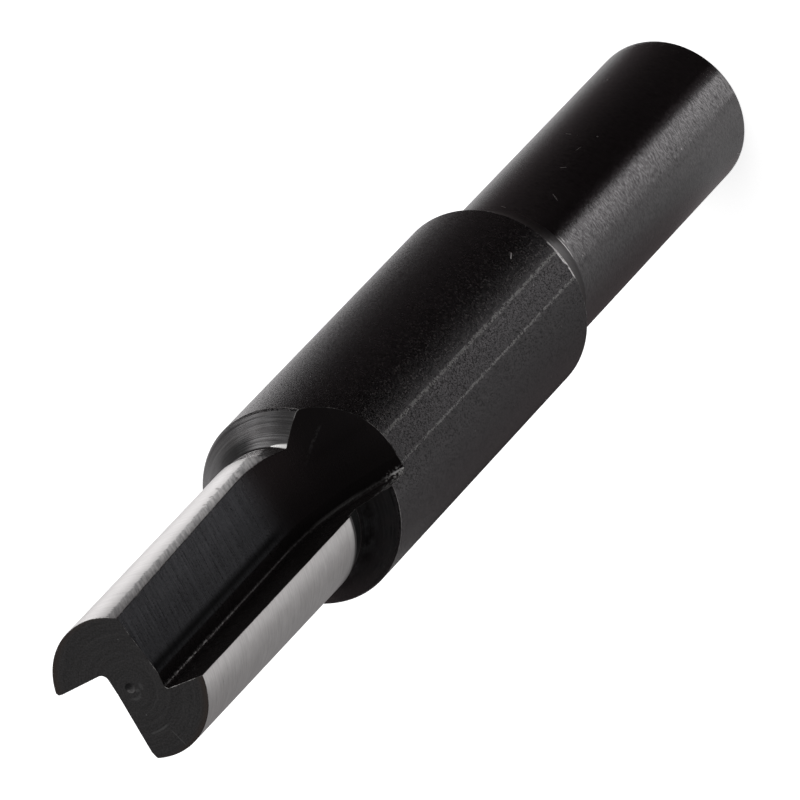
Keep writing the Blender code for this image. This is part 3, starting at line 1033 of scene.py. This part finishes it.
def add_flute(name, rake_angle, set_back, bend, back_tilt, facet_tilt, corner_radius, foot):
    """Space swept by the disc: its section runs straight to the tip and turns out at the body."""
    facet_slope = math.tan(math.radians(facet_tilt))
    back_slope = math.tan(math.radians(back_tilt))
    corner = (bend[0] + facet_slope * (set_back + bend[1]), -set_back)
    far = (bend[0] - back_slope * (flute_reach - bend[1]), flute_reach)
    shape = bmesh.new()
    outline = ((flute_top, -set_back), corner, bend, far, (flute_top, flute_reach))
    verts = [shape.verts.new((depth, width, disc_height)) for depth, width in outline]
    shape.faces.new(verts)
    bmesh.ops.bevel(
        shape,
        geom=[verts[1]],
        offset=corner_radius,
        segments=12,
        profile=0.5,
        affect="VERTICES",
        material=-1,
    )
    centre = Vector((disc_axis_distance, 0.0, disc_height))
    bmesh.ops.delete(shape, geom=shape.faces[:], context="FACES_ONLY")
    bmesh.ops.rotate(
        shape,
        verts=shape.verts[:],
        cent=centre,
        matrix=Matrix.Rotation(flute_tilt, 3, "Y"),
    )
    start_edges = shape.edges[:]
    start_verts = shape.verts[:]
    straight = bmesh.ops.extrude_edge_only(shape, edges=start_edges)["geom"]
    bmesh.ops.translate(
        shape,
        verts=[v for v in straight if isinstance(v, bmesh.types.BMVert)],
        vec=Vector((math.sin(flute_tilt), 0.0, math.cos(flute_tilt))) * straight_travel,
    )
    bmesh.ops.spin(
        shape,
        geom=start_verts + start_edges,
        cent=centre,
        axis=(0.0, -1.0, 0.0),
        angle=runout_sweep + flute_tilt,
        steps=runout_steps,
        use_merge=False,
    )
    bmesh.ops.remove_doubles(shape, verts=shape.verts[:], dist=merge_distance)
    open_edges = [edge for edge in shape.edges if edge.is_boundary]
    bmesh.ops.holes_fill(shape, edges=open_edges, sides=0)
    for face in shape.faces:
        face.material_index = FOOT if foot[0] < face.calc_center_median().y < foot[1] else MILLED
    bmesh.ops.rotate(
        shape, verts=shape.verts[:], matrix=Matrix.Rotation(math.radians(rake_angle), 3, "Z")
    )
    bmesh.ops.recalc_face_normals(shape, faces=shape.faces[:])
    foot_line = 1000.0 * (foot[0] + foot[1]) / 2
    return new_object(name, shape, *new_milled_steels(name, rake_angle, foot_line))


flutes = [
    add_flute(
        "flute_wide", 20.0, 0.00103, (0.00245, 0.00028), 8.3, -5.0, 0.00035, (-0.00081, -0.00069)
    ),
    add_flute(
        "flute_deep", 204.5, 0.00177, (0.00092, 0.00010), -4.0, -1.0, 0.00056, (-0.00142, -0.00122)
    ),
]

# Centre dimple: the small cone that the centre drill leaves in the tip.
dimple_radius = 0.00084
dimple_depth = 0.00038
dimple_lift = 0.00001
dimple_shape = bmesh.new()
bmesh.ops.create_cone(
    dimple_shape,
    cap_ends=True,
    segments=48,
    radius1=0.0,
    radius2=dimple_radius,
    depth=dimple_depth,
    matrix=Matrix.Translation((0.0, 0.0, tip + dimple_lift)),
)
dimple = new_object("centre_dimple", dimple_shape, end_steel)

# Chips in the cutting corners: small breaks that use has left at the tip. Each is cut by a
# block that leans over the corner at 45 degrees.


def add_chip(name, place, outward, size):
    """Block whose underside passes through a place on the tip, leaning outward and down."""
    shape = bmesh.new()
    bmesh.ops.create_cube(shape, size=size)
    lean = Vector((outward[0], outward[1], 1.0)).normalized()
    turn = Vector((0.0, 0.0, 1.0)).rotation_difference(lean).to_matrix()
    bmesh.ops.rotate(shape, verts=shape.verts[:], matrix=turn)
    bmesh.ops.translate(shape, verts=shape.verts[:], vec=Vector(place) + lean * size / 2)
    return new_object(name, shape, end_steel)


chips = [
    add_chip("chip_left", (-0.00592, -0.00056, tip), (-0.14, -0.99), 0.0009),
    add_chip("chip_low", (0.00080, -0.00535, tip), (-0.76, -0.65), 0.0007),
]

# The whole cutter: the blank with its lobes joined on and its flutes milled out, then all
# edges broken by a hair, where the black is rubbed through in dots.
edge_break = 0.00003
hard_angle = math.radians(25.0)
smooth_angle = math.radians(12.0)
weld_distance = 0.000004
sliver_length = 0.000002
worn_edge = new_material("worn_edge_steel")
tree = worn_edge.node_tree
fine_rub = black_grain(tree, 4.0, 0.40, 0.58)
patches = black_grain(tree, 0.45, 0.42, 0.58)
place = use_group(tree, place_group)
height = place["Height"]
rubbed = calc(tree, "MULTIPLY", fine_rub, calc(tree, "MULTIPLY_ADD", patches, 0.85, 0.10))
rim_off = calc(tree, "ABSOLUTE", calc(tree, "SUBTRACT", height, 70.3))
rim_line = map_value(tree, rim_off, 0.3, 0.5, 0.30, 0.0)
rubbed = calc(tree, "MAXIMUM", rubbed, calc(tree, "MULTIPLY_ADD", patches, 0.25, rim_line))
rubbed = calc(tree, "MULTIPLY", rubbed, map_value(tree, height, 1.0, 2.0, 0.0, 1.0))
in_cone = calc(tree, "ABSOLUTE", calc(tree, "SUBTRACT", height, 72.3))
rubbed = calc(tree, "MULTIPLY", rubbed, map_value(tree, in_cone, 1.4, 1.8, 0.12, 1.0))
colour = mix_colour(tree, rubbed, (0.055, 0.051, 0.050), (0.60, 0.59, 0.58))
roughness = map_value(tree, rubbed, 0.0, 1.0, 0.30, 0.45, False)
shine = map_value(tree, height, 1.0, 2.0, 0.30, 1.0)
finish_steel(worn_edge, colour, roughness, rubbed, metal=shine)

for other, operation in (
    [(lobe, "UNION") for lobe in lobes]
    + [(flute, "DIFFERENCE") for flute in flutes]
    + [(dimple, "DIFFERENCE")]
    + [(chip, "DIFFERENCE") for chip in chips]
):
    step = blank.modifiers.new(other.name, "BOOLEAN")
    step.operation = operation
    step.solver = "EXACT"
    step.material_mode = "TRANSFER"
    step.object = other
finished = blank.evaluated_get(bpy.context.evaluated_depsgraph_get())
cutter_mesh = bpy.data.meshes.new_from_object(finished)
cutter_mesh.name = "milling_cutter_steel"
for helper in [blank, dimple] + lobes + flutes + chips:
    bpy.data.objects.remove(helper, do_unlink=True)
cutter = bpy.data.objects.new("milling_cutter_steel", cutter_mesh)
scene.collection.objects.link(cutter)
cutter_mesh.materials.append(worn_edge)
shape = bmesh.new()
shape.from_mesh(cutter_mesh)
bmesh.ops.remove_doubles(shape, verts=shape.verts[:], dist=weld_distance)
bmesh.ops.dissolve_degenerate(shape, edges=shape.edges[:], dist=sliver_length)
hard_edges = [e for e in shape.edges if e.calc_face_angle(0.0) > hard_angle]
broken = bmesh.ops.bevel(
    shape,
    geom=hard_edges,
    offset=edge_break,
    offset_type="OFFSET",
    segments=2,
    profile=0.5,
    affect="EDGES",
    clamp_overlap=False,
    material=-1,
)["faces"]
for face in broken:
    face.material_index = len(cutter_mesh.materials) - 1
broken = set(broken)
for edge in shape.edges:
    beside_break = len(broken.intersection(edge.link_faces)) == 1
    edge.smooth = not beside_break and edge.calc_face_angle(0.0) < smooth_angle
for face in shape.faces:
    face.smooth = True
shape.to_mesh(cutter_mesh)
shape.free()
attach(cutter, "root")
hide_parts("milling_cutter")
